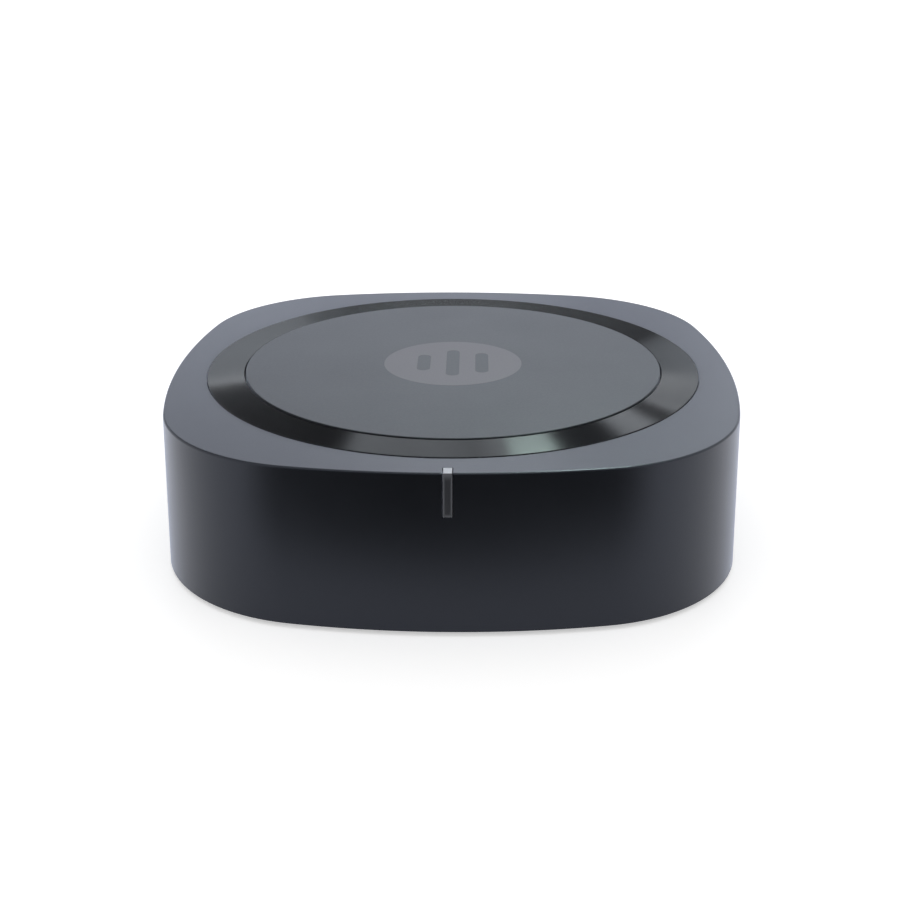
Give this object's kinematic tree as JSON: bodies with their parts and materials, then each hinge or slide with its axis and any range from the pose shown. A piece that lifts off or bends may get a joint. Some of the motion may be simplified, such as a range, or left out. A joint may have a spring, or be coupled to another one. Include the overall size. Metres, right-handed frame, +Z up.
{
  "type": "wireless audio receiver",
  "caption": "Squarish desktop audio receiver with rounded corners, a gloss ring around a raised disc on top, a front light pipe, and a rear bay of sockets, spring wire clips and a push button.",
  "frame": {"origin": "middle of the plane that the feet stand on", "axes": "+Z up, front with the light pipe towards -Y, +X to the right seen from the front"},
  "size_m": [0.145, 0.145, 0.0396],
  "materials": {
    "case_plastic": "fine matte texture",
    "base_plastic": "spark-textured",
    "panel_plastic": "fine matte",
    "ring_gloss": "gloss black over fine turned grooves",
    "disc_plastic": "matte paint",
    "adhesive": "double-sided film",
    "frosted_light": "frosted translucent",
    "circuit_board": "solder mask",
    "led_package": "plain",
    "chip_plastic": "moulded epoxy",
    "connector_plastic": "natural nylon",
    "ribbon": "flat flexible cable",
    "thermal_rubber": "soft pad",
    "heatsink_metal": "black anodised",
    "tin_plate": "tin plated",
    "socket_plastic": "glass-filled nylon",
    "contact_gold": "gold flash",
    "terminal_plastic": "moulded",
    "lever_red": "moulded",
    "lever_black": "moulded",
    "spring_steel": "sprung strip",
    "button_plastic": "moulded",
    "aerial_foil": "foil on film",
    "lead_jacket": "thin coax jacket",
    "coil_ferrite": "pressed ferrite",
    "capacitor_sleeve": "shrink sleeve over a can",
    "foot_rubber": "soft matte",
    "screw_steel": "black zinc"
  },
  "bodies": {
    "case": {"amp_chip": "chip_plastic", "amp_heatsink": "heatsink_metal", "antenna_lead_left": "lead_jacket", "antenna_lead_right": "lead_jacket", "antenna_left": "aerial_foil", "antenna_right": "aerial_foil", "aux_jack_body": "socket_plastic", "aux_jack_bush": "tin_plate", "base_cover": "base_plastic", "board_connector": "connector_plastic", "board_screws": "screw_steel", "bulk_capacitor_1": "capacitor_sleeve", "bulk_capacitor_2": "capacitor_sleeve", "case_screws": "screw_steel", "control_chip": "chip_plastic", "dc_jack_body": "socket_plastic", "dc_jack_pin": "tin_plate", "filter_coil_1": "coil_ferrite", "filter_coil_2": "coil_ferrite", "filter_coil_3": "coil_ferrite", "filter_coil_4": "coil_ferrite", "foot_front_left": "foot_rubber", "foot_front_right": "foot_rubber", "foot_rear_left": "foot_rubber", "foot_rear_right": "foot_rubber", "ir_receiver": "chip_plastic", "lan_jack_contacts": "contact_gold", "lan_jack_insert": "socket_plastic", "lan_jack_shell": "tin_plate", "lan_transformer": "chip_plastic", "led_board": "circuit_board", "led_board_connector": "connector_plastic", "led_ribbon": "ribbon", "light_pipe": "frosted_light", "main_board": "circuit_board", "pair_switch_body": "tin_plate", "rear_panel": "panel_plastic", "status_led": "led_package", "terminal_body": "terminal_plastic", "terminal_spring_1": "spring_steel", "terminal_spring_2": "spring_steel", "terminal_spring_3": "spring_steel", "terminal_spring_4": "spring_steel", "thermal_pad": "thermal_rubber", "top_disc": "disc_plastic", "top_disc_tape": "adhesive", "trim_ring": "ring_gloss", "upper_housing": "case_plastic", "wireless_module": "circuit_board", "wireless_shield": "tin_plate"},
    "pair_button": {"pair_button": "button_plastic", "pair_switch_plunger": "connector_plastic"},
    "terminal_lever_1": {"terminal_lever_1": "lever_red"},
    "terminal_lever_2": {"terminal_lever_2": "lever_black"},
    "terminal_lever_3": {"terminal_lever_3": "lever_red"},
    "terminal_lever_4": {"terminal_lever_4": "lever_black"}
  },
  "joints": [
    {"name": "pair_button_press", "type": "slide", "parent": "case", "child": "pair_button", "axis": [0, -1, 0], "range_m": [0, 0.0005], "stiffness_N_per_m": 400, "springref_m": -0.001},
    {"name": "lever_press_1", "type": "hinge", "parent": "case", "child": "terminal_lever_1", "pos_m": [0.0005, 0.05255, 0.0173], "axis": [-1, 0, 0], "range_deg": [0, 14], "stiffness_Nm_per_rad": 0.12, "springref_deg": -11.46, "deforming": ["terminal_spring_1"]},
    {"name": "lever_press_2", "type": "hinge", "parent": "case", "child": "terminal_lever_2", "pos_m": [0.0095, 0.05255, 0.0173], "axis": [-1, 0, 0], "range_deg": [0, 14], "stiffness_Nm_per_rad": 0.12, "springref_deg": -11.46, "deforming": ["terminal_spring_2"]},
    {"name": "lever_press_3", "type": "hinge", "parent": "case", "child": "terminal_lever_3", "pos_m": [0.0185, 0.05255, 0.0173], "axis": [-1, 0, 0], "range_deg": [0, 14], "stiffness_Nm_per_rad": 0.12, "springref_deg": -11.46, "deforming": ["terminal_spring_3"]},
    {"name": "lever_press_4", "type": "hinge", "parent": "case", "child": "terminal_lever_4", "pos_m": [0.0275, 0.05255, 0.0173], "axis": [-1, 0, 0], "range_deg": [0, 14], "stiffness_Nm_per_rad": 0.12, "springref_deg": -11.46, "deforming": ["terminal_spring_4"]}
  ]
}
